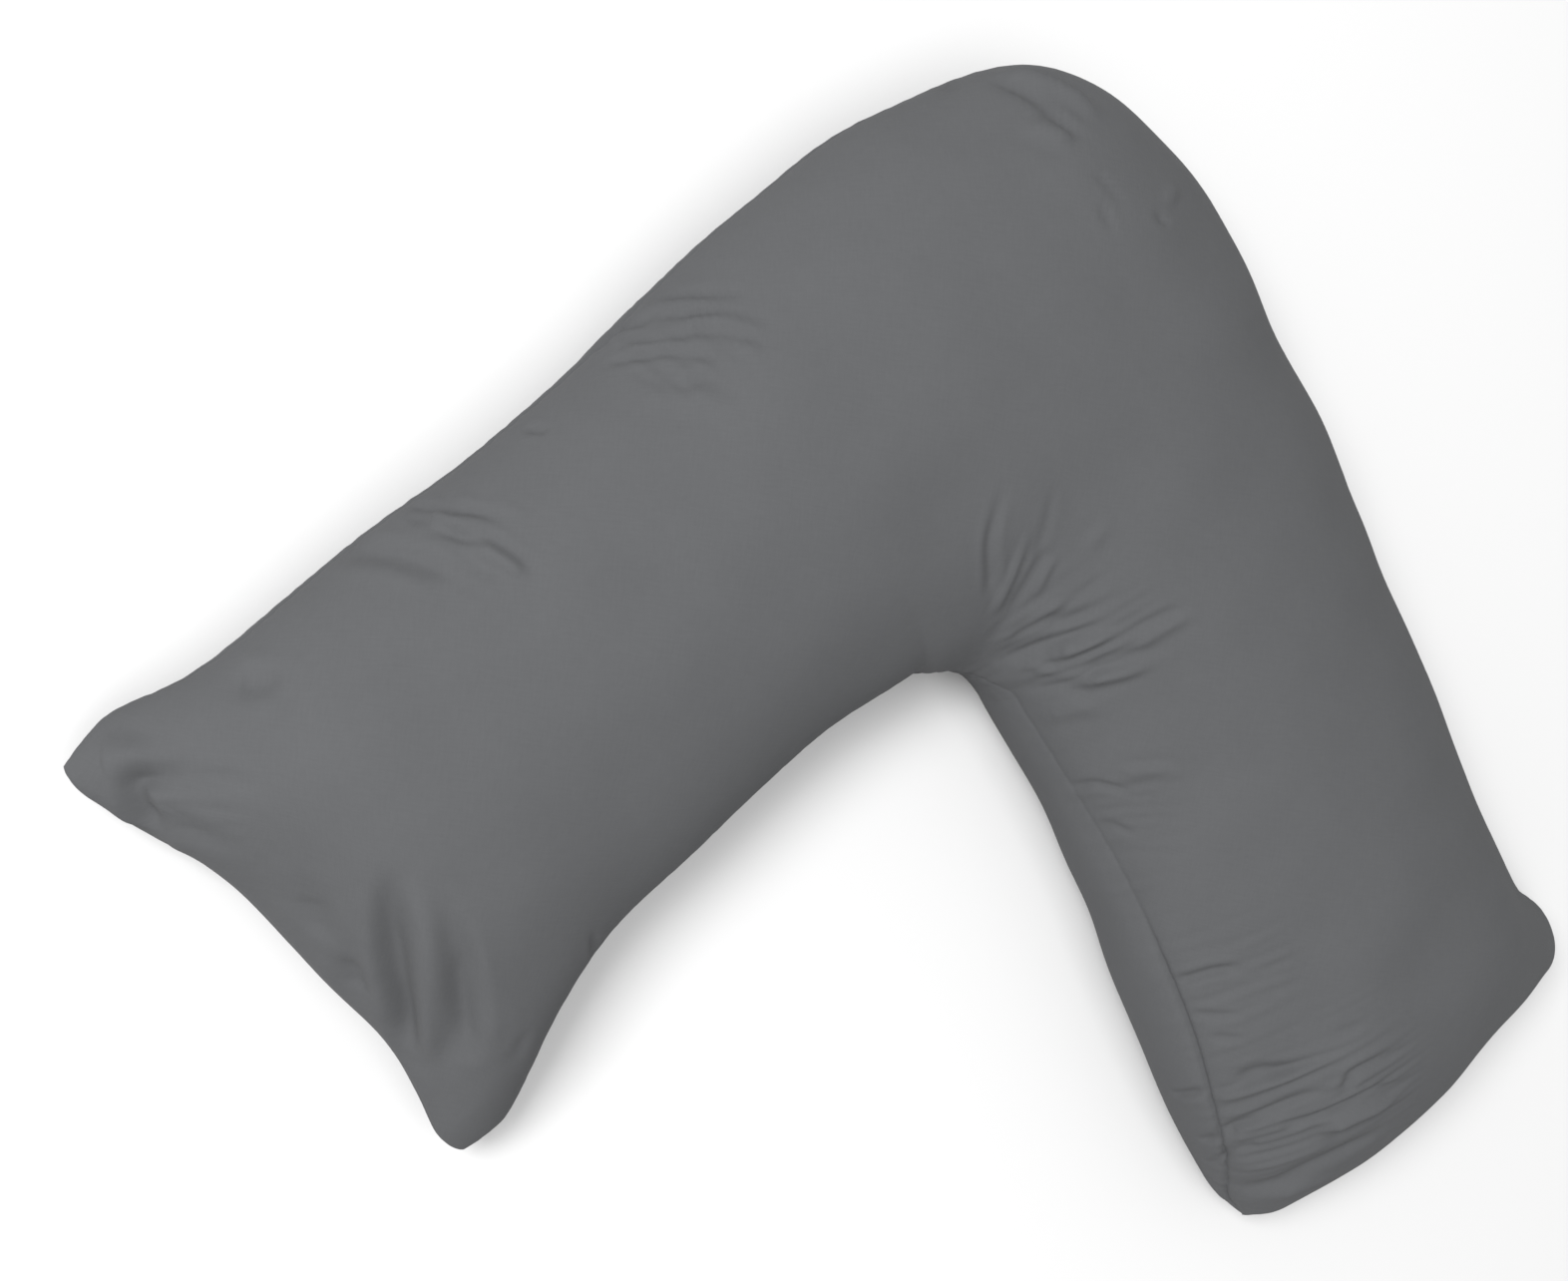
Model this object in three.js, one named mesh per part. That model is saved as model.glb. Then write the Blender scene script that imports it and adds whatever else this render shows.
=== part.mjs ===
// V shaped pillow lying on its back. Two arms meet in a rounded apex, and each arm ends in two ears with a
// drawn-in seam between them. Millimetres, +X across the arms, +Y towards the apex, +Z up.
import * as THREE from "three";

// Each arm's slant from the pillow's middle line, and the path length of half the bend between the arms.
const armSlant = THREE.MathUtils.degToRad(39.5);
const halfBend = 185;

// How the filling rounds the cloth: 1 is an ellipse, less is fuller.
const fullness = 0.95;
const backShare = 0.95;
const floorBlend = 8;

// The ears: how far back along the arm they shape it, and how far their tips hang down.
const earReach = 130;
const earDrop = 10;

// How far the sewn seam is pulled in under the cloth on both sides of it.
const seamPinch = 5;

// Steps of the mesh along the pillow, and from seam to seam over one panel.
const stations = 120;
const ribs = 24;

// Sections along the pillow. at: place on its path, 0 in the middle of the bend, the left arm below zero.
// inner, outer: how far each edge is from the middle of the bend. edge: height of the widest line.
// crown: height of the top above it. climb: how far the inner seam runs above the widest line.
const sections = named(["at", "inner", "outer", "edge", "crown", "climb"], [
  [-620, 21, 372, 50, 80, 0],
  [-540, 42, 358, 56, 84, 0],
  [-450, 70, 352, 62, 88, 0],
  [-360, 71, 346, 66, 90, 0],
  [-270, 68, 339, 68, 93, 0],
  [-195, 53, 340, 69, 96, 0],
  [-155, 43, 346, 69, 97, 0],
  [-110, 39, 364, 70, 98, 0],
  [-60, 37, 396, 70, 99, 0],
  [0, 36, 433, 70, 100, 2],
  [60, 35, 401, 70, 99, 7],
  [120, 34, 354, 70, 97, 14],
  [190, 35, 340, 69, 96, 21],
  [270, 39, 336, 68, 93, 25],
  [360, 33, 336, 66, 92, 34],
  [450, 23, 334, 62, 90, 37],
  [540, 20, 340, 56, 88, 27],
  [634, 26, 374, 50, 84, 24],
]);

// The two ends. ear: radius of the ear tips. taper: how far from the end the crown starts to fall.
// draw: how far the end seam lies inside the ears' tips, from the inner edge (0) to the outer one (1).
const ends = {
  left: {
    ear: 32,
    taper: 150,
    draw: named(["at", "in"], [
      [0, 22], [0.07, 27], [0.14, 34], [0.22, 39], [0.35, 40], [0.5, 40],
      [0.63, 40], [0.72, 35], [0.8, 27], [0.9, 18], [1, 9],
    ]),
  },
  right: {
    ear: 34,
    taper: 120,
    draw: named(["at", "in"], [
      [0, 6], [0.12, 6], [0.3, 1], [0.5, 4], [0.62, 10], [0.7, 13], [0.8, 14], [0.9, 15], [1, 11],
    ]),
  },
};

// Folds of the upper panel, measured in plan from the bend's centre. Each starts deep at x1, y1 and fades out
// to x2, y2. deep is below zero for a ridge. wide is half the fold's width.
const folds = named(["x1", "y1", "x2", "y2", "deep", "wide"], [
  // left inner ear: trough, ridge and softer trough
  [-336, -240, -388, -122, 16, 20],
  [-318, -232, -364, -112, -8, 18],
  [-298, -216, -346, -122, 7, 24],
  // left outer ear: dent at its root and the pull line from it
  [-500, -116, -517, -80, 12, 20],
  [-508, -84, -450, -84, 5, 18],
  // fan round the inner corner
  [6, 42, 106, 98, 10, 22],
  [12, 36, 114, 70, 8, 19],
  [26, 30, 88, 38, 6, 18],
  [-16, 50, 6, 130, 6, 18],
  [-27, 56, -46, 152, 6, 20],
  // right arm: pull lines across it towards the end
  [240, -226, 328, -157, 7, 19],
  [262, -248, 364, -190, 6, 18],
  [286, -272, 330, -240, 5, 18],
  [180, -140, 250, -102, 4, 19],
  // left arm: pull lines from its outer seam
  [-276, 198, -208, 222, 6, 19],
  [-274, 172, -200, 180, 4, 18],
  [-378, 72, -316, 60, 5, 19],
  [-404, 42, -360, 38, 4, 18],
]);

function named(columns, rows) {
  return rows.map((row) => Object.fromEntries(columns.map((column, i) => [column, row[i]])));
}

// Smooth curve through one column of a table.
function curve(table, column, at) {
  const last = table.length - 1;
  const slope = (i) => {
    const before = table[Math.max(i - 1, 0)];
    const after = table[Math.min(i + 1, last)];
    return (after[column] - before[column]) / (after.at - before.at);
  };
  const x = THREE.MathUtils.clamp(at, table[0].at, table[last].at);
  let i = 0;
  while (i < last - 1 && x > table[i + 1].at) i += 1;
  const step = table[i + 1].at - table[i].at;
  const s = (x - table[i].at) / step;
  const rise = table[i + 1][column] - table[i][column];
  const bow = s * (1 - s) * ((1 - s) * (slope(i) * step - rise) - s * (slope(i + 1) * step - rise));
  return table[i][column] + rise * s + bow;
}

// How much a round corner of this radius takes off at a distance from its edge.
function corner(distance, radius) {
  const far = radius - THREE.MathUtils.clamp(distance, 0, radius);
  return radius - Math.sqrt(radius * radius - far * far);
}

// Plan position of a point by its place on the path and its distance from the middle of the bend.
function plan(at, out) {
  const turn = THREE.MathUtils.clamp(at / halfBend, -1, 1) * (Math.PI / 2 - armSlant);
  const along = Math.max(Math.abs(at) - halfBend, 0);
  return [
    out * Math.sin(turn) + Math.sign(at) * along * Math.sin(armSlant),
    out * Math.cos(turn) - along * Math.cos(armSlant),
  ];
}

// Length of the path from the middle of the bend to the end of the arm that the place is on.
function tipOf(at) {
  return at < 0 ? -sections[0].at : sections.at(-1).at;
}

// The mesh's places on the path, closer together towards the ends.
function placeOf(station) {
  const side = (2 * station) / (stations - 1) - 1;
  return Math.sign(side) * tipOf(side) * (1 - (1 - Math.abs(side)) ** 1.25);
}

// Height of the crown over the widest line. It falls to nothing at the end seams.
function crownAt(at) {
  const end = at < 0 ? ends.left : ends.right;
  const toEnd = THREE.MathUtils.clamp((tipOf(at) - Math.abs(at)) / end.taper, 0, 1);
  return curve(sections, "crown", at) * Math.sqrt(1 - (1 - toEnd) ** 2);
}

// Height over the floor: the back is pressed flat where it lies, with a soft turn up from it.
function rest(z) {
  if (z > floorBlend) return z;
  return z < -floorBlend ? 0 : (z + floorBlend) ** 2 / (4 * floorBlend);
}

// A point of the filled form. The angle runs round the section: 0 inner edge, PI / 2 top, PI outer edge.
function formPoint(at, angle) {
  const end = at < 0 ? ends.left : ends.right;
  const toEnd = tipOf(at) - Math.abs(at);
  const nearEar = THREE.MathUtils.smoothstep(1 - toEnd / earReach, 0, 1);
  const bite = (1 - Math.SQRT1_2) * end.ear;
  const inset = corner(Math.max(toEnd + nearEar * bite, bite), end.ear);
  const across = (1 - Math.cos(angle)) / 2;
  const inner = curve(sections, "inner", at) + inset;
  const outer = curve(sections, "outer", at) - inset;
  const toEdge = Math.min(across, 1 - across) * (outer - inner) + inset;
  const pulled = nearEar * (corner(toEdge, end.ear) + curve(end.draw, "in", across));
  const [x, y] = plan(Math.sign(at) * (Math.abs(at) - pulled), inner + (outer - inner) * across);
  const edge = curve(sections, "edge", at) - earDrop * nearEar * Math.abs(2 * across - 1) ** 4;
  const bulge = crownAt(at) * Math.abs(Math.sin(angle)) ** fullness;
  return new THREE.Vector3(x, y, Math.sin(angle) < 0 ? rest(edge - backShare * bulge) : edge + bulge);
}

// Angle of one rib: the first half of them is the upper panel, the second half the lower one.
function angleOf(at, rib) {
  const crown = curve(sections, "crown", at);
  const climb = (crownAt(at) / crown) * Math.asin(Math.max(curve(sections, "climb", at), 0) / crown);
  const part = rib / ribs;
  return part <= 1 ? climb + (Math.PI - climb) * part : Math.PI + (Math.PI + climb) * (part - 1);
}

// Depth of all folds at a point of the upper panel.
function foldDepth(x, y) {
  let depth = 0;
  for (const fold of folds) {
    const [dx, dy] = [fold.x2 - fold.x1, fold.y2 - fold.y1];
    const along = ((x - fold.x1) * dx + (y - fold.y1) * dy) / (dx * dx + dy * dy);
    const s = THREE.MathUtils.clamp(along, 0, 1);
    const away = Math.hypot(x - fold.x1 - s * dx, y - fold.y1 - s * dy) / fold.wide;
    if (away < 1) depth += fold.deep * (1 - 0.8 * s * s) * (1 - away * away) ** 2;
  }
  return depth;
}

// Which way is out at one point of the form. At an end seam it is out of the fold between the panels.
function outwardAt(form, station, rib) {
  const ring = form[station];
  const wrap = (index) => (index + 2 * ribs) % (2 * ribs);
  if (station === 0 || station === stations - 1) {
    const beside = form[station === 0 ? 1 : stations - 2];
    const middle = beside[rib].clone().add(beside[wrap(-rib)]).multiplyScalar(0.5);
    return ring[rib].clone().sub(middle).normalize();
  }
  const along = form[station + 1][rib].clone().sub(form[station - 1][rib]);
  const round = ring[wrap(rib + 1)].clone().sub(ring[wrap(rib - 1)]);
  return along.cross(round).normalize();
}

// The cloth's skin: rings of points along the pillow, then the folds and the seam pressed in square to it.
function makeSkin() {
  const places = Array.from({ length: stations }, (_, station) => placeOf(station));
  const form = places.map((at) =>
    Array.from({ length: 2 * ribs }, (_, rib) => formPoint(at, angleOf(at, rib))),
  );
  return form.map((ring, station) =>
    ring.map((point, rib) => {
      const toEnd = tipOf(places[station]) - Math.abs(places[station]);
      const onSeam = rib % ribs === 0 || toEnd < 1;
      const fold = rib > ribs ? 0 : foldDepth(point.x, point.y) * Math.min(toEnd / 25, 1);
      const pressed = fold + (onSeam ? seamPinch : 0);
      return pressed === 0 ? point : point.clone().addScaledVector(outwardAt(form, station, rib), -pressed);
    }),
  );
}

// Closed mesh of the skin. At both ends the two panels share one row of points, the end seam.
function makePillow() {
  const skin = makeSkin();
  const at = (station, rib) => {
    const turned = rib % (2 * ribs);
    const sewn = (station === 0 || station === stations - 1) && turned > ribs;
    return station * 2 * ribs + (sewn ? 2 * ribs - turned : turned);
  };
  const faces = [];
  for (let i = 0; i < stations - 1; i += 1) {
    for (let j = 0; j < 2 * ribs; j += 1) {
      faces.push(at(i, j), at(i + 1, j), at(i + 1, j + 1));
      faces.push(at(i, j), at(i + 1, j + 1), at(i, j + 1));
    }
  }
  const geometry = new THREE.BufferGeometry();
  const points = skin.flat().flatMap((point) => point.toArray());
  geometry.setAttribute("position", new THREE.Float32BufferAttribute(points, 3));
  geometry.setIndex(faces);
  geometry.computeBoundingBox();
  const middle = geometry.boundingBox.getCenter(new THREE.Vector3());
  geometry.translate(-middle.x, -middle.y, -geometry.boundingBox.min.z);
  geometry.computeVertexNormals();
  return geometry;
}

const charcoalCloth = new THREE.MeshStandardMaterial({ color: 0x6b6c6e, roughness: 0.95, metalness: 0 });
const pillow = new THREE.Mesh(makePillow(), charcoalCloth);
pillow.name = "pillow";

const part = new THREE.Group();
part.add(pillow);
export default part;
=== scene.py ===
import math

import bpy
import numpy as np
from mathutils import Matrix, Vector


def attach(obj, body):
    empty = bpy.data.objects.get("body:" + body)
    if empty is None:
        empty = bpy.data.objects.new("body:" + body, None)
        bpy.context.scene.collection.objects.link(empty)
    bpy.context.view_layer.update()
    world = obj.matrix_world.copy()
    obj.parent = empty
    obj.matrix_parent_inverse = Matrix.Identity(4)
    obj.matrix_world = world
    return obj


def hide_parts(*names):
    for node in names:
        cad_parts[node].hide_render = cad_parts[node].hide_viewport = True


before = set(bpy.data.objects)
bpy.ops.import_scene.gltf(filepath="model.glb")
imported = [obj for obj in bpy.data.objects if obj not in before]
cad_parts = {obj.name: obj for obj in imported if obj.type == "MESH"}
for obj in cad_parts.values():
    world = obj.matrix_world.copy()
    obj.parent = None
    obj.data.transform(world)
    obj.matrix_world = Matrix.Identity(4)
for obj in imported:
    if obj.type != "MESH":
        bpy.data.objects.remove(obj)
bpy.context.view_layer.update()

# Lengths in these tables are millimetres on the pillow; the meshes are made in metres.
millimetre = 0.001

# The filled form: where the edges run, how high the crown is, and how the ends draw in between the ears.
pillow = {
    "armSlant": 39.5,
    "halfBend": 185,
    "fullness": 0.95,
    "backShare": 0.95,
    "floorBlend": 8,
    "earReach": 130,
    "earDrop": 10,
    # middle of the bend in the frame
    "bendMiddle": (-4.0, -60.7),
    # place on the path, inner edge, outer edge, edge height, crown height, climb of the inner seam
    "sections": [
        (-620, 21, 372, 50, 80, 0),
        (-540, 42, 358, 56, 84, 0),
        (-450, 70, 352, 62, 88, 0),
        (-360, 71, 346, 66, 90, 0),
        (-270, 68, 339, 68, 93, 0),
        (-195, 53, 340, 69, 96, 0),
        (-155, 43, 346, 69, 97, 0),
        (-110, 39, 364, 70, 98, 0),
        (-60, 37, 396, 70, 99, 0),
        (0, 36, 433, 70, 100, 2),
        (60, 35, 401, 70, 99, 7),
        (120, 34, 354, 70, 97, 14),
        (190, 35, 340, 69, 96, 21),
        (270, 39, 336, 68, 93, 25),
        (360, 33, 336, 66, 92, 34),
        (450, 23, 334, 62, 90, 37),
        (540, 20, 340, 56, 88, 27),
        (634, 26, 374, 50, 84, 24),
    ],
    "ears": {"left": 32, "right": 34},
    "tapers": {"left": 150, "right": 120},
    # across the end from the inner edge (0) to the outer one (1), how far the seam lies inside the ears
    "endDraw": {
        "left": [
            (0, 22), (0.07, 27), (0.14, 34), (0.22, 39), (0.35, 40), (0.5, 40),
            (0.63, 40), (0.72, 35), (0.8, 27), (0.9, 18), (1, 9),
        ],
        "right": [
            (0, 6), (0.12, 6), (0.3, 1), (0.5, 4), (0.62, 10),
            (0.7, 13), (0.8, 14), (0.9, 15), (1, 11),
        ],
    },
    # mesh steps along the pillow, and from seam to seam over one panel
    "stations": 600,
    "ribs": 142,
    # how much closer the rows lie towards the ends, and the parts of the close rows beside each seam
    "crowding": 1.25,
    "seamRows": (0, 0.004, 0.01, 0.019),
    "firstWideRow": 0.031,
    # how far apart the two panels lie on the flat pattern
    "patternSpacing": 1300,
    "fill": 0.75,
}


# A smooth curve through a table of points, at x.
def curveThrough(points, x):
    table = np.array(points, float)
    xs, ys = table[:, 0], table[:, 1]
    slopes = np.empty_like(ys)
    slopes[1:-1] = (ys[2:] - ys[:-2]) / (xs[2:] - xs[:-2])
    slopes[0] = (ys[1] - ys[0]) / (xs[1] - xs[0])
    slopes[-1] = (ys[-1] - ys[-2]) / (xs[-1] - xs[-2])
    x = np.clip(x, xs[0], xs[-1])
    i = np.clip(np.searchsorted(xs, x, side="right") - 1, 0, len(xs) - 2)
    step = xs[i + 1] - xs[i]
    s = (x - xs[i]) / step
    rise = ys[i + 1] - ys[i]
    bow = s * (1 - s) * ((1 - s) * (slopes[i] * step - rise) - s * (slopes[i + 1] * step - rise))
    return ys[i] + rise * s + bow


def sectionColumn(column, at):
    return curveThrough([(row[0], row[column]) for row in pillow["sections"]], at)


def bySide(values, at):
    return np.where(at < 0, values["left"], values["right"])


def smoothStep(x):
    x = np.clip(x, 0, 1)
    return x * x * (3 - 2 * x)


# How far a corner rounded to a radius stays back at a distance from its edge.
def cornerLoss(distance, radius):
    far = radius - np.clip(distance, 0, radius)
    return radius - np.sqrt(np.maximum(radius * radius - far * far, 0))


# Seen from above: a place on the bent path, and how far outside the path's inner side.
def planOf(at, out):
    slant = math.radians(pillow["armSlant"])
    turn = np.clip(at / pillow["halfBend"], -1, 1) * (math.pi / 2 - slant)
    along = np.maximum(np.abs(at) - pillow["halfBend"], 0)
    x = out * np.sin(turn) + np.sign(at) * along * math.sin(slant)
    y = out * np.cos(turn) - along * math.cos(slant)
    return x, y


def toArmEnd(at):
    tips = {"left": -pillow["sections"][0][0], "right": pillow["sections"][-1][0]}
    return bySide(tips, at) - np.abs(at)


# The crown's share of its full height, which falls to nothing at the arms' ends.
def crownFall(at):
    share = np.clip(toArmEnd(at) / bySide(pillow["tapers"], at), 0, 1)
    return np.sqrt(1 - (1 - share) ** 2)


# Angle round the section: the upper panel for parts 0 to 1, the lower one for 1 to 2.
def panelAngles(at, parts):
    lean = np.maximum(sectionColumn(5, at), 0) / sectionColumn(4, at)
    climb = (crownFall(at) * np.arcsin(lean))[:, None]
    upper = climb + (math.pi - climb) * parts
    lower = math.pi + (math.pi + climb) * (parts - 1)
    return np.where(parts <= 1, upper, lower)


# Points of the filled form for each place on the path and each part round the section.
def filledForm(at, parts):
    angle = panelAngles(at, parts)
    at = at[:, None] + 0 * angle
    toEnd = toArmEnd(at)
    nearEar = smoothStep(1 - toEnd / pillow["earReach"])
    ear = bySide(pillow["ears"], at)
    bite = (1 - math.sqrt(0.5)) * ear
    inset = cornerLoss(np.maximum(toEnd + nearEar * bite, bite), ear)
    across = (1 - np.cos(angle)) / 2
    inner = sectionColumn(1, at) + inset
    outer = sectionColumn(2, at) - inset
    toEdge = np.minimum(across, 1 - across) * (outer - inner) + inset
    draw = np.where(
        at < 0,
        curveThrough(pillow["endDraw"]["left"], across),
        curveThrough(pillow["endDraw"]["right"], across),
    )
    pulled = nearEar * (cornerLoss(toEdge, ear) + draw)
    x, y = planOf(np.sign(at) * (np.abs(at) - pulled), inner + (outer - inner) * across)
    edge = sectionColumn(3, at) - pillow["earDrop"] * nearEar * np.abs(2 * across - 1) ** 4
    bulge = sectionColumn(4, at) * crownFall(at) * np.abs(np.sin(angle)) ** pillow["fullness"]
    below = edge - pillow["backShare"] * bulge
    blend = pillow["floorBlend"]
    rounded = np.where(below < -blend, 0, (below + blend) ** 2 / (4 * blend))
    resting = np.where(below > blend, below, rounded)
    z = np.where(np.sin(angle) < 0, resting, edge + bulge)
    return np.stack([x, y, z], -1)


def spotOnForm(at, part):
    return filledForm(np.array([at]), np.array([part]))[0, 0]


# Places along the pillow for the mesh's rows, closer together towards the ends.
def placesAlong(count):
    side = np.linspace(-1, 1, count)
    tips = np.where(side < 0, -pillow["sections"][0][0], pillow["sections"][-1][0])
    return np.sign(side) * tips * (1 - (1 - np.abs(side)) ** pillow["crowding"])


def evenParts(ribs):
    return np.arange(2 * ribs) / ribs


# Parts round the section with a few close rows beside each seam.
def closeToSeams(ribs):
    close = np.array(pillow["seamRows"])
    wide = np.linspace(pillow["firstWideRow"], 1 - pillow["firstWideRow"], ribs + 1 - 2 * len(close))
    upper = np.concatenate([close, wide, 1 - close[:0:-1]])
    return np.concatenate([upper, 1 + upper])


# At both ends, where the panels meet in a sewn row, outwards is away from the row before.
def outwardNormals(points):
    along = np.gradient(points, axis=0)
    around = np.roll(points, -1, axis=1) - np.roll(points, 1, axis=1)
    normals = np.cross(along, around)
    normals /= np.maximum(np.linalg.norm(normals, axis=-1, keepdims=True), 1e-9)
    for end, beside in ((0, 1), (-1, -2)):
        half = points.shape[1] // 2
        folded = points[end] - (points[beside] + points[beside][-np.arange(2 * half) % (2 * half)]) / 2
        normals[end] = folded / np.maximum(np.linalg.norm(folded, axis=-1, keepdims=True), 1e-9)
    return normals


# Which mesh point each grid point is: at both ends the two panels share one sewn row.
def pointIndices(rows, columns):
    index = np.arange(rows * columns).reshape(rows, columns)
    half = columns // 2
    for row in (0, rows - 1):
        index[row, half + 1:] = index[row, half - 1:0:-1]
    used, packed = np.unique(index, return_inverse=True)
    return used, packed.reshape(rows, columns)


def closedMesh(name, points):
    rows, columns = points.shape[:2]
    used, index = pointIndices(rows, columns)
    nextColumn = np.roll(index, -1, axis=1)
    faces = np.stack([index[:-1], index[1:], nextColumn[1:], nextColumn[:-1]], -1).reshape(-1, 4)
    mesh = bpy.data.meshes.new(name)
    mesh.from_pydata((points.reshape(-1, 3)[used] * millimetre).tolist(), [], faces.tolist())
    mesh.polygons.foreach_set("use_smooth", [True] * len(mesh.polygons))
    return mesh, index


# The two panels as they were cut, laid flat side by side, as a map in metres that the weave follows.
def layFlat(mesh, points, at):
    half = points.shape[1] // 2
    middle = (sectionColumn(1, at) + sectionColumn(2, at))[:, None] / 2
    whole = np.concatenate([points, points[:, :1]], axis=1)
    corners = []
    for panel, shift in ((whole[:, :half + 1], 0), (whole[:, half:], pillow["patternSpacing"])):
        steps = np.linalg.norm(np.diff(panel, axis=1), axis=-1)
        across = np.concatenate([np.zeros((len(at), 1)), np.cumsum(steps, axis=1)], axis=1)
        x, y = planOf(at[:, None], middle + across - across[:, -1:] / 2)
        flat = np.stack([x + shift, y], -1) * millimetre
        corners.append(np.stack([flat[:-1, :-1], flat[1:, :-1], flat[1:, 1:], flat[:-1, 1:]], 2))
    layer = mesh.uv_layers.new(name="flat pattern")
    layer.data.foreach_set("uv", np.concatenate(corners, axis=1).ravel())


# How slack the cloth is in each region, and how the simulation draws it into small wrinkles.
slackness = {
    "stations": 220,
    "ribs": 50,
    "frames": 20,
    "pressure": 4.0,
    "excess": 0.05,
    "hold": 0.13,
    "weight": 0.005,
    "shake": 0.25,
    "smoothing": 3,
    "cap": 4.0,
    "quality": 5,
    "stretchStiffness": 15,
    "shearStiffness": 5,
    "bendStiffness": 5,
    # millimetres from the seam within which the shake and the moves fade, and above the floor that are held
    "shakeFade": 20,
    "moveFade": 25,
    "floorGrip": 3,
    # place on the path, part round the section, reach in millimetres, how slack
    "regions": [
        (100, 0.12, 120, 1.0),
        (-40, 0.15, 90, 0.8),
        (540, 0.15, 120, 1.0),
        (430, 0.05, 100, 0.6),
        (-580, 0.4, 90, 0.8),
        (-590, 0.85, 70, 0.8),
        (-190, 0.9, 80, 0.7),
        (-370, 0.88, 90, 0.7),
        (0, 0.85, 90, 0.5),
        (600, 0.7, 80, 0.5),
    ],
    "seamReach": 22,
    "seamSlack": 0.5,
}


# How slack each point is: by the regions it lies near, and along the seam.
def slackAt(form, at, parts):
    slack = np.zeros(form.shape[:2])
    for place, part, reach, amount in slackness["regions"]:
        row = np.abs(at - place).argmin()
        column = np.abs(parts - part).argmin()
        away = np.linalg.norm(form - form[row, column], axis=-1) / reach
        slack = np.maximum(slack, amount * np.exp(-away * away))
    seamGap = gapToSeam(form)
    return np.maximum(slack, slackness["seamSlack"] * np.exp(-((seamGap / slackness["seamReach"]) ** 2)))


# Distance of each point to the seam along its own section, or to the sewn end.
def gapToSeam(form):
    half = form.shape[1] // 2
    around = np.linalg.norm(np.roll(form, -1, axis=1) - form, axis=-1)
    length = np.cumsum(around, axis=1) - around
    upper, whole = length[:, half:half + 1], length[:, -1:] + around[:, -1:]
    gap = np.minimum(np.abs(length - upper), np.minimum(length, whole - length))
    steps = np.linalg.norm(np.diff(form, axis=0), axis=-1)
    fromLeft = np.concatenate([np.zeros((1, form.shape[1])), np.cumsum(steps, axis=0)])
    toRight = fromLeft[-1:] - fromLeft
    return np.minimum(gap, np.minimum(fromLeft, toRight))


# Evens out a grid of moves, so that only their broader swells stay.
def evenOut(moved, rounds):
    for _ in range(rounds):
        moved = (np.roll(moved, 1, axis=1) + 2 * moved + np.roll(moved, -1, axis=1)) / 4
        moved[1:-1] = (moved[:-2] + 2 * moved[1:-1] + moved[2:]) / 4
    return moved


# Blows the slack cover up from inside, held at the seam and on the floor, and gives each point's move.
def settleCloth(form, at, parts):
    scene = bpy.context.scene
    chance = np.random.default_rng(7)
    start = form - outwardNormals(form) * creaseDepth(form)[..., None]
    gap = gapToSeam(form)
    shake = chance.normal(0, slackness["shake"], form.shape)
    start += shake * smoothStep(gap / slackness["shakeFade"])[..., None]
    mesh, index = closedMesh("settling cloth", start)
    cloth = bpy.data.objects.new("settling cloth", mesh)
    scene.collection.objects.link(cloth)
    count = len(mesh.vertices)
    slack = np.zeros(count)
    slack[index] = slackAt(form, at, parts)
    hold = np.zeros(count)
    held = (gap < 1) | (form[..., 2] < slackness["floorGrip"])
    hold[index] = np.where(held, 1.0, slackness["hold"])
    for name, weights in (("hold", hold), ("slack", slack)):
        group = cloth.vertex_groups.new(name=name)
        for value in np.unique(np.round(weights, 2)):
            chosen = np.nonzero(np.round(weights, 2) == value)[0].tolist()
            group.add(chosen, float(value), "REPLACE")
    modifier = cloth.modifiers.new("Cloth", "CLOTH")
    settings = modifier.settings
    settings.quality = slackness["quality"]
    settings.mass = slackness["weight"]
    settings.tension_stiffness = slackness["stretchStiffness"]
    settings.compression_stiffness = slackness["stretchStiffness"]
    settings.shear_stiffness = slackness["shearStiffness"]
    settings.bending_stiffness = slackness["bendStiffness"]
    settings.use_pressure = True
    settings.uniform_pressure_force = slackness["pressure"]
    settings.effector_weights.gravity = 0
    settings.vertex_group_mass = "hold"
    settings.pin_stiffness = 1
    settings.vertex_group_shrink = "slack"
    settings.shrink_min = 0
    settings.shrink_max = -slackness["excess"]
    modifier.collision_settings.use_collision = False
    modifier.point_cache.frame_end = slackness["frames"]
    for step in range(1, slackness["frames"] + 1):
        scene.frame_set(step)
    settled = cloth.evaluated_get(bpy.context.evaluated_depsgraph_get())
    spots = np.empty(count * 3)
    settled.data.vertices.foreach_get("co", spots)
    moved = evenOut((spots.reshape(-1, 3) / millimetre)[index] - start, slackness["smoothing"])
    scene.frame_set(1)
    bpy.data.objects.remove(cloth)
    far = np.linalg.norm(moved, axis=-1, keepdims=True)
    moved *= np.minimum(1, slackness["cap"] / np.maximum(far, 1e-6))
    moved *= smoothStep(gap / slackness["moveFade"])[..., None]
    print("cloth settled, moved up to %.1f mm, %.2f mm on the whole" % (far.max(), far.mean()))
    return moved


# Cubic resampling of a grid of moves along one axis, closed or open.
def resample(values, where, closed):
    count = values.shape[0]
    base = np.floor(where).astype(int)
    s = (where - base)[:, None, None]

    def pick(offset):
        i = base + offset
        return values[i % count] if closed else values[np.clip(i, 0, count - 1)]

    before, here, there, beyond = pick(-1), pick(0), pick(1), pick(2)
    bend = 3 * (here - there) + beyond - before
    turn = 2 * before - 5 * here + 4 * there - beyond
    return here + 0.5 * s * (there - before + s * (turn + s * bend))


# Carries the moves of the coarse grid over to the fine one.
def finerGrid(moved, at, fineAt, fineParts):
    rows = np.interp(fineAt, at, np.arange(len(at)))
    columns = fineParts * moved.shape[1] / 2
    along = resample(moved, rows, False)
    return resample(along.transpose(1, 0, 2), columns, True).transpose(1, 0, 2)


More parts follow.
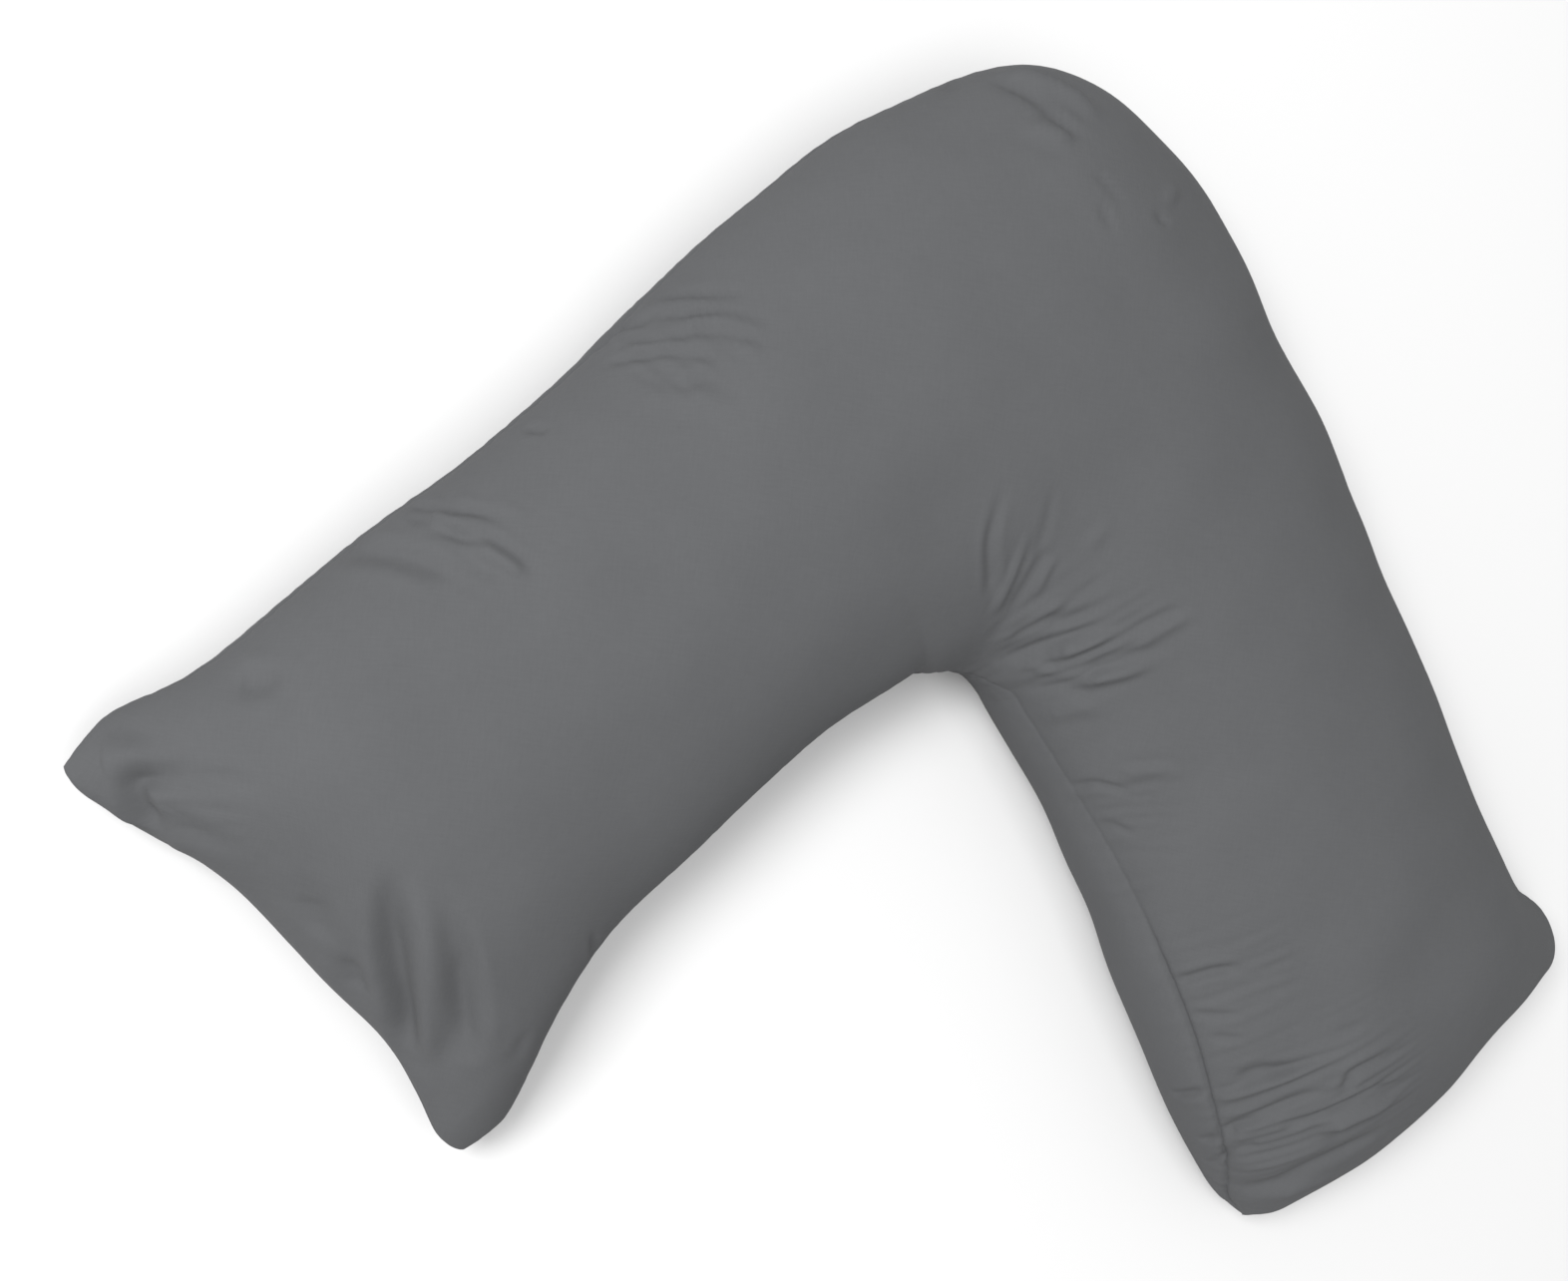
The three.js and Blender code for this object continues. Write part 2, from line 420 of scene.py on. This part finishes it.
# Creases of the cover. The path gives places on the pillow and parts round its section, from the deep end
# to the one that fades. deep is negative for a ridge, and wide is half the width.
creases = [
    # round the inner corner
    {"deep": 2.4, "wide": 4.5, "path": [(-64, 0.26), (-71, 0.33), (-52, 0.4)]},
    {"deep": -1.7, "wide": 3.5, "path": [(-47, 0.22), (-34, 0.27), (-25, 0.34)]},
    {"deep": 1.3, "wide": 3.5, "path": [(-16, 0.21), (-1, 0.28), (8, 0.29), (11, 0.3)]},
    {"deep": 0.9, "wide": 4, "path": [(-8, 0.29), (-8, 0.34), (-12, 0.38)]},
    {"deep": -1.3, "wide": 3, "path": [(12, 0.24), (14, 0.27), (16, 0.29)]},
    {"deep": 0.3, "wide": 4, "path": [(27, 0.24), (34, 0.27)]},
    {"deep": -1.7, "wide": 5, "path": [(4, 0.15), (3, 0.18), (41, 0.22), (51, 0.24), (52, 0.27)]},
    {"deep": -1.2, "wide": 5, "path": [(49, 0.32), (50, 0.33), (60, 0.36)]},
    {"deep": 3.3, "wide": 5.5, "path": [(37, 0.1), (106, 0.2), (143, 0.27)]},
    {"deep": 1, "wide": 4.5, "path": [(154, 0.27), (167, 0.33), (166, 0.36)]},
    {"deep": 2.6, "wide": 5, "path": [(62, 0.2), (87, 0.23), (103, 0.28)]},
    {"deep": -4.6, "wide": 5, "path": [(114, 0.17), (132, 0.22), (146, 0.27)]},
    {"deep": -2.2, "wide": 5, "path": [(173, 0.28), (176, 0.32), (186, 0.38)]},
    {"deep": 1.8, "wide": 4, "path": [(179, 0.18), (176, 0.21), (188, 0.27), (194, 0.33)]},
    {"deep": -4.4, "wide": 4, "path": [(189, 0.17), (194, 0.22), (199, 0.28)]},
    {"deep": -2.2, "wide": 3.5, "path": [(112, 0.11), (146, 0.14)]},
    {"deep": 1.8, "wide": 5, "path": [(156, 1.99), (157, 0.05), (193, 0.14), (198, 0.18), (207, 0.25)]},
    {"deep": -1.8, "wide": 6, "path": [(202, 0.06), (204, 0.12), (217, 0.18)]},
    # across the right arm from its inner seam
    {"deep": 2.7, "wide": 3.2, "path": [(257, 0.01), (259, 0.07), (279, 0.14)]},
    {"deep": 1.8, "wide": 3, "path": [(289, 0.02), (291, 0.05), (306, 0.09)]},
    {"deep": 2.9, "wide": 4, "path": [(407, 0.02), (409, 0.1), (423, 0.18)]},
    {"deep": -2.1, "wide": 4.5, "path": [(259, 0.13), (265, 0.18), (276, 0.23)]},
    # right end
    {"deep": 1.5, "wide": 3, "path": [(432, 0.02), (441, 0.08), (450, 0.14)]},
    {"deep": 1.6, "wide": 3, "path": [(454, 0.05), (465, 0.12)]},
    {"deep": 3.3, "wide": 4.5, "path": [(490, 0.08), (490, 0.12), (495, 0.16), (499, 0.2), (509, 0.32)]},
    {"deep": 1.1, "wide": 4, "path": [(492, 0.28), (498, 0.34)]},
    {"deep": -4.2, "wide": 3.5, "path": [(499, 0.02), (502, 0.15), (504, 0.23), (509, 0.3)]},
    {"deep": 4.5, "wide": 4.5, "path": [(530, 0.02), (524, 0.06), (522, 0.19), (534, 0.27)]},
    {"deep": 3.6, "wide": 4, "path": [(532, 0.27), (525, 0.3), (535, 0.42)]},
    {"deep": 3.4, "wide": 2.8, "path": [(538, 0.15), (542, 0.23), (546, 0.31), (564, 0.4)]},
    {"deep": -7, "wide": 6, "path": [(555, 0.23), (559, 0.3), (574, 0.4)]},
    {"deep": 1.6, "wide": 4, "path": [(546, 0.04), (546, 0.07), (552, 0.09)]},
    {"deep": -2.6, "wide": 7, "path": [(566, 0.03), (566, 0.15), (567, 0.21), (565, 0.25)]},
    {"deep": 4.7, "wide": 7.5, "path": [(597, 0.04), (588, 0.17), (587, 0.25), (587, 0.3), (587, 0.35)]},
    {"deep": -2.5, "wide": 6, "path": [(606, 0.13), (608, 0.21), (612, 0.27)]},
    {"deep": 3.5, "wide": 3.5, "path": [(492, 1.98), (496, 1.89)]},
    {"deep": 2.8, "wide": 4, "path": [(535, 1.99), (543, 1.94)]},
    {"deep": 2, "wide": 3, "path": [(550, 0.02), (583, 1.94)]},
    # left inner ear
    {"deep": 8.5, "wide": 8.5,
     "path": [(-613, 0.32), (-595, 0.4), (-575, 0.45), (-545, 0.5), (-516, 0.53)]},
    {"deep": -5.8, "wide": 8, "path": [(-611, 0.32), (-569, 0.39), (-534, 0.45), (-510, 0.51)]},
    {"deep": 4.4, "wide": 7.5, "path": [(-580, 0.29), (-545, 0.36), (-528, 0.39), (-509, 0.45)]},
    {"deep": -0.8, "wide": 12, "path": [(-562, 0.27), (-535, 0.29), (-523, 0.33), (-514, 0.37)]},
    {"deep": 4.4, "wide": 10, "path": [(-611, 0.43), (-601, 0.48)]},
    {"deep": -1.5, "wide": 8, "path": [(-607, 0.4), (-585, 0.46), (-576, 0.5)]},
    {"deep": 1.2, "wide": 6, "path": [(-547, 0.19), (-523, 0.21)]},
    {"deep": 1.9, "wide": 4, "path": [(-459, 0.1), (-454, 0.21)]},
    # left outer ear
    {"deep": 7, "wide": 8,
     "path": [(-618, 0.72), (-608, 0.77), (-597, 0.795), (-586, 0.785), (-572, 0.76)]},
    {"deep": 1.6, "wide": 6, "path": [(-588, 0.79), (-572, 0.76), (-555, 0.72), (-540, 0.69)]},
    {"deep": -4.5, "wide": 9, "path": [(-601, 0.87), (-588, 0.85), (-573, 0.82)]},
    {"deep": 2.6, "wide": 9, "path": [(-613, 0.75), (-605, 0.69), (-598, 0.62)]},
    {"deep": 4, "wide": 11, "path": [(-594, 0.55), (-601, 0.52), (-608, 0.5)]},
    # outer side of the left arm, next to the bend
    {"deep": 3.2, "wide": 3.5, "path": [(-198, 1), (-189, 0.94), (-180, 0.9)]},
    {"deep": 2.1, "wide": 3.5, "path": [(-180, 0.9), (-172, 0.84), (-162, 0.79)]},
    {"deep": -2.9, "wide": 3.8, "path": [(-181, 0.96), (-168, 0.85), (-162, 0.82)]},
    {"deep": 2.3, "wide": 3.5, "path": [(-171, 0.92), (-158, 0.83), (-152, 0.8)]},
    {"deep": -2.9, "wide": 3.8, "path": [(-177, 0.84), (-170, 0.81), (-161, 0.75), (-159, 0.73)]},
    {"deep": 2.4, "wide": 3.8, "path": [(-185, 0.84), (-177, 0.81), (-161, 0.71)]},
    {"deep": -2.4, "wide": 3.2, "path": [(-170, 0.74), (-165, 0.71)]},
    {"deep": -2.6, "wide": 3.5, "path": [(-208, 0.9), (-196, 0.85), (-184, 0.81)]},
    {"deep": 2.1, "wide": 3.8, "path": [(-219, 0.91), (-194, 0.82), (-181, 0.75)]},
    {"deep": -2, "wide": 4.5, "path": [(-203, 0.78), (-190, 0.76), (-180, 0.73)]},
    {"deep": 0.9, "wide": 5, "path": [(-210, 0.77), (-201, 0.75), (-191, 0.73)]},
    {"deep": -2.2, "wide": 8, "path": [(-225, 0.79), (-209, 0.74), (-201, 0.71), (-195, 0.66)]},
    {"deep": 2.6, "wide": 3.5, "path": [(-282, 0.92), (-277, 0.87)]},
    {"deep": 3, "wide": 9, "path": [(-190, 1), (-205, 1), (-219, 1)]},
    # outer side of the left arm
    {"deep": 2.9, "wide": 3.8, "path": [(-360, 0.95), (-355, 0.87)]},
    {"deep": 2.1, "wide": 4, "path": [(-351, 0.86), (-343, 0.83), (-329, 0.74)]},
    {"deep": -3.8, "wide": 5, "path": [(-364, 0.88), (-355, 0.83), (-344, 0.78)]},
    {"deep": 1.8, "wide": 4, "path": [(-368, 0.92), (-361, 0.81), (-349, 0.75)]},
    {"deep": -3.8, "wide": 5, "path": [(-359, 0.77), (-355, 0.71), (-359, 0.69)]},
    {"deep": 3.6, "wide": 8, "path": [(-404, 0.96), (-387, 0.82), (-381, 0.74)]},
    {"deep": 3.7, "wide": 9, "path": [(-506, 0.86), (-495, 0.83), (-484, 0.81)]},
    # rounded apex
    {"deep": 3.8, "wide": 5, "path": [(-26, 0.88), (-12, 0.78), (-1, 0.74)]},
    {"deep": -6, "wide": 8, "path": [(-21, 0.9), (-5, 0.83), (8, 0.79)]},
    {"deep": -4.5, "wide": 6, "path": [(-22, 0.77), (-13, 0.75), (-8, 0.74)]},
    {"deep": 2.1, "wide": 2.8, "path": [(1, 0.7), (5, 0.69), (16, 0.66)]},
    {"deep": 2.2, "wide": 3, "path": [(2, 0.66), (9, 0.63)]},
    {"deep": 3, "wide": 4, "path": [(30, 0.69), (35, 0.69)]},
    {"deep": -3, "wide": 4, "path": [(38, 0.76), (32, 0.71)]},
    {"deep": 4, "wide": 4, "path": [(-41, 0.97), (-41, 0.9)]},
]

creaseShape = {
    # a little swelling beside each crease: its height, how far out in half widths, and how spread
    "lip": 0.22,
    "lipPlace": 1.75,
    "lipSpread": 0.6,
    # width at the deep end, how much narrower the other end is, and where it is lost, in half widths
    "width": 1.1,
    "narrowing": 0.3,
    "reach": 3.2,
    # how quickly it comes in, how strong it is at the very start, and how quickly it fades
    "startRise": 5,
    "startLevel": 0.45,
    "endFall": 2,
}

# Bundles of faint gathers between the creases. from and to are a place and a part on the middle line.
gathers = [
    # round the inner corner
    {"deep": 0.35, "spacing": 8, "wide": 22, "from": (20, 0.12), "to": (95, 0.3)},
    {"deep": 0.35, "spacing": 8, "wide": 26, "from": (120, 0.1), "to": (165, 0.33)},
    # across the right arm
    {"deep": 0.25, "spacing": 9, "wide": 40, "from": (285, 0.02), "to": (300, 0.2)},
    {"deep": 0.35, "spacing": 8, "wide": 42, "from": (420, 0.02), "to": (432, 0.24)},
    {"deep": 0.5, "spacing": 8, "wide": 50, "from": (535, 0.04), "to": (550, 0.42)},
    # left ears
    {"deep": 0.3, "spacing": 9, "wide": 26, "from": (-590, 0.3), "to": (-520, 0.46)},
    {"deep": 0.25, "spacing": 8, "wide": 22, "from": (-600, 0.78), "to": (-560, 0.7)},
    # outer side of the left arm
    {"deep": 0.3, "spacing": 7, "wide": 32, "from": (-190, 0.95), "to": (-185, 0.72)},
    {"deep": 0.3, "spacing": 7, "wide": 26, "from": (-362, 0.95), "to": (-352, 0.7)},
    {"deep": 0.2, "spacing": 8, "wide": 30, "from": (-10, 0.92), "to": (0, 0.66)},
]


def gatherDepth(points):
    chance = np.random.default_rng(23)
    total = np.zeros(points.shape[:2])
    for bundle in gathers:
        start, end = spotOnForm(*bundle["from"]), spotOnForm(*bundle["to"])
        reach = np.linalg.norm(end - start)
        forward = (end - start) / reach
        sideways = np.cross(forward, (0, 0, 1))
        sideways /= np.linalg.norm(sideways)
        along = (points - start) @ forward / reach
        across = (points - start) @ sideways
        fade = smoothStep((along + 0.15) * 4) * smoothStep((1.15 - along) * 2.5)
        fade = fade * np.exp(-((across / bundle["wide"]) ** 2)) * smoothStep(points[..., 2] / 40 - 1)
        for _ in range(6):
            spacing = bundle["spacing"] * chance.uniform(0.8, 2.2)
            bow = chance.uniform(-4, 4) * along + chance.uniform(-5, 5) * along * along
            strength = np.sin(along * chance.uniform(2, 6) + chance.uniform(0, 7))
            wave = np.sin(2 * math.pi * (across + bow) / spacing + chance.uniform(0, 7))
            total += bundle["deep"] * fade * strength * wave * 0.7
    return total


# Points on the form along a crease. Parts just below the inner seam count as negative, so that a path can
# cross the seam.
def creasePath(crease, count=32):
    steps = np.linspace(0, len(crease["path"]) - 1, count)
    places, parts = zip(*crease["path"])
    at = curveThrough(list(enumerate(places)), steps)
    part = curveThrough([(i, part - 2 * (part > 1.5)) for i, part in enumerate(parts)], steps)
    return np.array([spotOnForm(a, p % 2) for a, p in zip(at, part)])


# Distance of points to a line of short straight steps, and how far along it the nearest place is.
def nearestOnLine(points, line):
    start, step = line[:-1], np.diff(line, axis=0)
    reach = ((points[:, None] - start) * step).sum(-1) / (step * step).sum(-1)
    reach = np.clip(reach, 0, 1)
    gaps = np.linalg.norm(points[:, None] - start - reach[..., None] * step, axis=-1)
    nearest = gaps.argmin(axis=1)
    every = np.arange(len(points))
    return gaps[every, nearest], (nearest + reach[every, nearest]) / len(start)


# How deep all creases together press in at each point.
def creaseDepth(points):
    flat = points.reshape(-1, 3)
    total = np.zeros(len(flat))
    for crease in creases:
        line = creasePath(crease)
        reach = creaseShape["reach"] * crease["wide"]
        near = np.nonzero(np.all((flat > line.min(0) - reach) & (flat < line.max(0) + reach), axis=1))[0]
        gap, along = nearestOnLine(flat[near], line)
        away = gap / (crease["wide"] * (creaseShape["width"] - creaseShape["narrowing"] * along))
        fade = smoothStep((1 - along) * creaseShape["endFall"])
        fade = fade * smoothStep(along * creaseShape["startRise"] + creaseShape["startLevel"])
        lip = np.exp(-((away - creaseShape["lipPlace"]) ** 2) / creaseShape["lipSpread"])
        shape = np.exp(-away * away) - creaseShape["lip"] * lip
        total[near] += crease["deep"] * fade * shape
    return total.reshape(points.shape[:2])


# The sewn edge: a narrow ditch in a wider dip, with small uneven puckers beside it.
seam = {
    # place on the path, depth and half width of the dip, depth of the ditch
    "inner": [
        (-634, 1.2, 8, 2.4), (-150, 1.2, 8, 2.2), (-80, 0.5, 8, 1.2), (120, 0.5, 9, 0.8),
        (210, 1.8, 13, 0.7), (350, 2.2, 12, 1.0), (400, 1.4, 7, 3.0), (634, 1.2, 8, 2.4),
    ],
    "outer": [(-634, 1.2, 8, 2.4), (-560, 0.7, 8, 2.2), (560, 0.7, 8, 2.2), (634, 1.2, 8, 2.4)],
    "ditchWide": 1.6,
    "pucker": 0.4,
    "puckerLength": 11,
    "puckerReach": 15,
    "plainTip": 20,
}


# One column of the seam's tables for every point, by the seam that is nearer.
def alongSeam(column, at, parts):
    values = {}
    for side in ("inner", "outer"):
        values[side] = curveThrough([(row[0], row[column]) for row in seam[side]], at)[:, None]
    return np.where(np.abs(parts - 1) < 0.5, values["outer"], values["inner"])


# Length along the nearer seam from the left end, for every point.
def seamRun(points, parts):
    steps = np.linalg.norm(np.diff(points, axis=0), axis=-1)
    run = np.concatenate([np.zeros((1, points.shape[1])), np.cumsum(steps, axis=0)])
    half = points.shape[1] // 2
    return np.where(np.abs(parts - 1) < 0.5, run[:, half:half + 1], run[:, :1])


# How deep the sewn edge lies at each point. It fades at the four tips, which stay plain and round.
def seamDepth(points, at, parts):
    gap = gapToSeam(points)
    run = seamRun(points, parts)
    half = points.shape[1] // 2
    tips = [points[row, column] for row in (0, -1) for column in (0, half)]
    toTip = np.min([np.linalg.norm(points - tip, axis=-1) for tip in tips], axis=0)
    chance = np.random.default_rng(11)
    puckers = np.zeros_like(gap)
    for _ in range(9):
        length = seam["puckerLength"] * chance.uniform(0.7, 1.9)
        swell = np.sin(run / (length * chance.uniform(3, 7)) + chance.uniform(0, 7))
        puckers += swell * np.sin(2 * math.pi * run / length + chance.uniform(0, 7))
    puckers *= seam["pucker"] / 3 * np.exp(-gap / seam["puckerReach"])
    dip = alongSeam(1, at, parts) * np.exp(-((gap / alongSeam(2, at, parts)) ** 2))
    ditch = alongSeam(3, at, parts) * np.exp(-((gap / seam["ditchWide"]) ** 2))
    return (dip + ditch + puckers) * smoothStep(toTip / seam["plainTip"])


# The loose filling pushes the cover a little up and down.
filling = {"lump": 0.7, "size": 110, "waves": 26}


def fillingSwell(points):
    chance = np.random.default_rng(4)
    swell = np.zeros(points.shape[:2])
    for _ in range(filling["waves"]):
        direction = chance.normal(size=3)
        direction /= np.linalg.norm(direction) * filling["size"] * chance.uniform(0.6, 1.7)
        swell += np.sin(2 * math.pi * points @ direction + chance.uniform(0, 7))
    lying = smoothStep(points[..., 2] / 30)
    return filling["lump"] * swell / math.sqrt(filling["waves"] / 2) * lying


# Charcoal cotton in a plain weave. Sizes are metres on the flat pattern.
clothLook = {
    "colour": (0.086, 0.0878, 0.0913),
    "shade": 0.05,
    "shadeSize": 0.05,
    "heather": 0.07,
    "threadPitch": 0.0008,
    "threadHeight": 0.00012,
    "slubLength": 0.012,
    "relief": 0.6,
    "roughness": 0.92,
    "sheen": 0.03,
    "shine": 0.08,
}


# A band of threads: evenly spaced across it, and thicker or paler in streaks that run along it.
def threads(nodes, links, place, direction):
    band = nodes.new("ShaderNodeTexWave")
    band.bands_direction = direction
    band.inputs["Scale"].default_value = 0.314 / clothLook["threadPitch"]  # one band in each pitch
    links.new(place, band.inputs["Vector"])
    stretched = nodes.new("ShaderNodeMapping")
    fine, long = 0.5 / clothLook["threadPitch"], 1 / clothLook["slubLength"]
    stretched.inputs["Scale"].default_value = (fine, long, 1) if direction == "X" else (long, fine, 1)
    links.new(place, stretched.inputs["Vector"])
    slub = nodes.new("ShaderNodeTexNoise")
    slub.inputs["Scale"].default_value = 1
    slub.inputs["Detail"].default_value = 1
    links.new(stretched.outputs["Vector"], slub.inputs["Vector"])
    return band.outputs["Fac"], slub.outputs["Fac"]


def mathNode(nodes, links, operation, first, second):
    node = nodes.new("ShaderNodeMath")
    node.operation = operation
    for socket, value in zip(node.inputs, (first, second)):
        if isinstance(value, bpy.types.NodeSocket):
            links.new(value, socket)
        else:
            socket.default_value = value
    return node.outputs["Value"]


def clothMaterial():
    material = bpy.data.materials.new("charcoal cotton")
    material.use_nodes = True
    nodes, links = material.node_tree.nodes, material.node_tree.links
    shader = nodes["Principled BSDF"]
    shader.inputs["Roughness"].default_value = clothLook["roughness"]
    shader.inputs["Sheen Weight"].default_value = clothLook["sheen"]
    shader.inputs["Specular IOR Level"].default_value = clothLook["shine"]

    pattern = nodes.new("ShaderNodeUVMap")
    pattern.uv_map = "flat pattern"
    place = pattern.outputs["UV"]
    warp, warpSlub = threads(nodes, links, place, "X")
    weft, weftSlub = threads(nodes, links, place, "Y")

    # over and under: the bands cross so that every second crossing stands up
    centred = [mathNode(nodes, links, "SUBTRACT", band, 0.5) for band in (warp, weft)]
    crossing = mathNode(nodes, links, "MULTIPLY", *centred)
    slubs = mathNode(nodes, links, "ADD", warpSlub, weftSlub)
    height = mathNode(nodes, links, "ADD", mathNode(nodes, links, "MULTIPLY", crossing, 2), slubs)
    bump = nodes.new("ShaderNodeBump")
    bump.inputs["Strength"].default_value = clothLook["relief"]
    bump.inputs["Distance"].default_value = clothLook["threadHeight"]
    links.new(height, bump.inputs["Height"])
    links.new(bump.outputs["Normal"], shader.inputs["Normal"])

    # the dye is a little uneven from place to place and from thread to thread
    patches = nodes.new("ShaderNodeTexNoise")
    patches.inputs["Scale"].default_value = 1 / clothLook["shadeSize"]
    patches.inputs["Detail"].default_value = 3
    links.new(place, patches.inputs["Vector"])
    broad = mathNode(nodes, links, "SUBTRACT", patches.outputs["Fac"], 0.5)
    fine = mathNode(nodes, links, "SUBTRACT", slubs, 1)
    uneven = mathNode(
        nodes, links, "ADD",
        mathNode(nodes, links, "MULTIPLY", broad, 2 * clothLook["shade"]),
        mathNode(nodes, links, "MULTIPLY", fine, clothLook["heather"]),
    )
    tint = nodes.new("ShaderNodeVectorMath")
    tint.operation = "SCALE"
    tint.inputs[0].default_value = clothLook["colour"]
    links.new(mathNode(nodes, links, "ADD", uneven, 1), tint.inputs["Scale"])
    links.new(tint.outputs["Vector"], shader.inputs["Base Color"])
    shader.inputs["Base Color"].default_value = (*clothLook["colour"], 1)
    return material


def buildPillow():
    fineAt, fineParts = placesAlong(pillow["stations"]), closeToSeams(pillow["ribs"])
    points = filledForm(fineAt, fineParts)
    at, parts = placesAlong(slackness["stations"]), evenParts(slackness["ribs"])
    moved = settleCloth(filledForm(at, parts), at, parts)
    points = points + finerGrid(moved, at, fineAt, fineParts)
    print("form ready")
    pressed = creaseDepth(points) + gatherDepth(points) - fillingSwell(points)
    pressed += seamDepth(points, fineAt, fineParts)
    points = points - outwardNormals(points) * pressed[..., None]
    points[..., 2] = np.maximum(points[..., 2], 0)
    print("creases and seam pressed in")
    mesh, _ = closedMesh("v pillow", points + np.array([*pillow["bendMiddle"], 0]))
    layFlat(mesh, points, fineAt)
    piece = bpy.data.objects.new("v_pillow", mesh)
    bpy.context.collection.objects.link(piece)
    mesh.materials.append(clothMaterial())
    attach(piece, "root")
    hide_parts("pillow")
    print("pillow made,", len(mesh.polygons), "faces")
    return piece


# The camera looks down on the pillow from its left side, with the picture turned.
cameraPlace = {
    "lens": 55.1,
    "sensor": 36,
    "height": 64.8,
    "side": 273.9,
    "roll": 265.5,
    "distance": 1502,
    "lookAt": (-130.5, -20.7, 66.0),
}


def cameraAxes():
    height, side, roll = (math.radians(cameraPlace[name]) for name in ("height", "side", "roll"))
    back = Vector((math.sin(side) * math.cos(height), -math.cos(side) * math.cos(height), math.sin(height)))
    level = Vector((math.cos(side), math.sin(side), 0))
    upright = back.cross(level)
    right = math.cos(roll) * level - math.sin(roll) * upright
    up = math.sin(roll) * level + math.cos(roll) * upright
    return right, up, back


def placeCamera():
    right, up, back = cameraAxes()
    lens = bpy.data.cameras.new("camera")
    lens.lens = cameraPlace["lens"]
    lens.sensor_width = cameraPlace["sensor"]
    camera = bpy.data.objects.new("camera", lens)
    bpy.context.collection.objects.link(camera)
    spot = Vector(cameraPlace["lookAt"]) * millimetre + back * cameraPlace["distance"] * millimetre
    turned = Matrix((right, up, back)).transposed().to_4x4()
    camera.matrix_world = Matrix.Translation(spot) @ turned
    bpy.context.scene.camera = camera


# Two large soft lamps, placed by the camera's own right, up and back, and an even white sky.
roomLight = {
    "middle": (0, -0.05, 0.05),
    "key": {"toward": (-0.22, 0.18, 1.0), "distance": 5.0, "size": 1.6, "power": 240},
    "fill": {"toward": (0.2, -0.15, 1.0), "distance": 6.0, "size": 4.0, "power": 145},
    "sky": 0.55,
}


def lightRoom():
    right, up, back = cameraAxes()
    middle = Vector(roomLight["middle"])
    for name in ("key", "fill"):
        setting = roomLight[name]
        x, y, z = setting["toward"]
        toward = (right * x + up * y + back * z).normalized()
        light = bpy.data.lights.new(name, "AREA")
        light.size = setting["size"]
        light.energy = setting["power"]
        lamp = bpy.data.objects.new(name, light)
        lamp.location = middle + toward * setting["distance"]
        lamp.rotation_euler = toward.to_track_quat("Z", "Y").to_euler()
        bpy.context.collection.objects.link(lamp)
    world = bpy.data.worlds.new("room")
    world.use_nodes = True
    sky = world.node_tree.nodes["Background"]
    sky.inputs["Color"].default_value = (1, 1, 1, 1)
    sky.inputs["Strength"].default_value = roomLight["sky"]
    bpy.context.scene.world = world
    bpy.context.scene.view_settings.view_transform = "Standard"


paleFloor = {"reach": 6, "tone": 0.66, "roughness": 0.9, "shine": 0.1}


def layFloor():
    mesh = bpy.data.meshes.new("floor")
    reach = paleFloor["reach"]
    corners = [(-reach, -reach, 0), (reach, -reach, 0), (reach, reach, 0), (-reach, reach, 0)]
    mesh.from_pydata(corners, [], [(0, 1, 2, 3)])
    floor = bpy.data.objects.new("floor", mesh)
    bpy.context.collection.objects.link(floor)
    material = bpy.data.materials.new("pale floor")
    material.use_nodes = True
    shader = material.node_tree.nodes["Principled BSDF"]
    shader.inputs["Base Color"].default_value = (*[paleFloor["tone"]] * 3, 1)
    shader.inputs["Roughness"].default_value = paleFloor["roughness"]
    shader.inputs["Specular IOR Level"].default_value = paleFloor["shine"]
    mesh.materials.append(material)


buildPillow()
placeCamera()
lightRoom()
layFloor()
print("scene ready")
